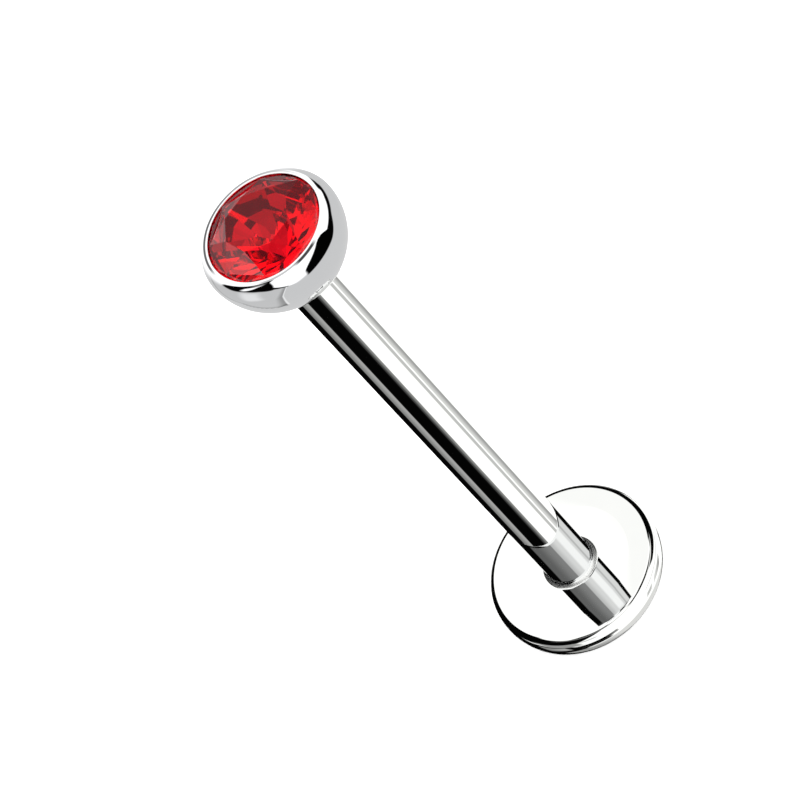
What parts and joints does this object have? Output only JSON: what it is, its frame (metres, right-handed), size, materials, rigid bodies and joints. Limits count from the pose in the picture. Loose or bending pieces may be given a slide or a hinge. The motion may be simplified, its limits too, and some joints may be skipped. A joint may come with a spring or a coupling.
{
  "type": "labret stud",
  "caption": "Straight round post on a flat round disc, with a screw-on cup holding a red faceted stone; a body jewel that stands upright on its disc.",
  "frame": {"origin": "centre of the disc's flat underside, on the post's axis", "axes": "+Z along the post from the disc to the stone; X and Y square to it, the part being turned about Z apart from the stone's facets"},
  "size_m": [0.0044, 0.0044, 0.0166],
  "materials": {
    "post_steel": "mirror polished surgical steel",
    "cup_steel": "mirror polished surgical steel",
    "red_stone": "faceted and foiled red crystal"
  },
  "bodies": {
    "post": {"post_and_disc": "post_steel"},
    "top": {"bezel_cup": "cup_steel", "stone": "red_stone"}
  },
  "joints": [
    {"name": "top_lift", "type": "slide", "parent": "post", "child": "top", "axis": [0, 0, 1], "range_m": [0, 0.008]}
  ]
}
